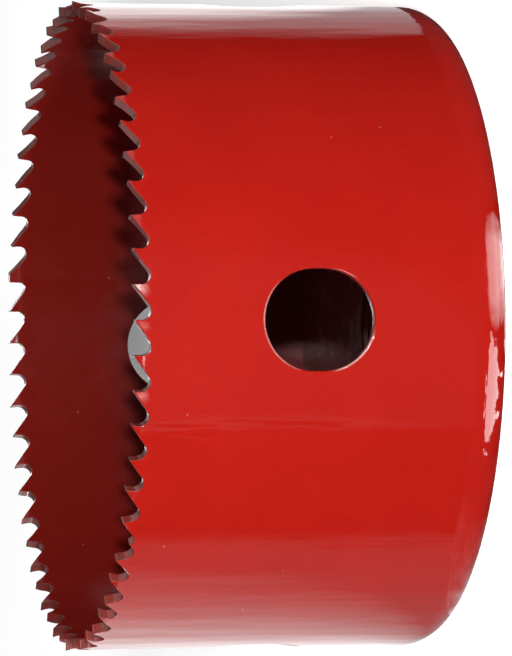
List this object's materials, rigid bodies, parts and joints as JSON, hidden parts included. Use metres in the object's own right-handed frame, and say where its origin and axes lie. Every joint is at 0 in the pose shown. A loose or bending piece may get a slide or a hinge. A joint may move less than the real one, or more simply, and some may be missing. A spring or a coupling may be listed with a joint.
{
  "type": "hole saw",
  "caption": "Cup-shaped hole saw with a hook-toothed rim, round side holes and a thick back plate with a threaded arbor hole and drive-pin holes, in gloss red enamel.",
  "frame": {"origin": "centre of the back plate's outer face, where the saw stands on a bench", "axes": "+Z along the saw's axis from the back plate to the tooth tips; one side hole faces -Y"},
  "size_m": [0.0833, 0.0836, 0.0479],
  "materials": {
    "enamel": "gloss enamel over steel"
  },
  "bodies": {
    "root": {"saw_band": "enamel", "back_plate": "enamel"}
  },
  "joints": []
}
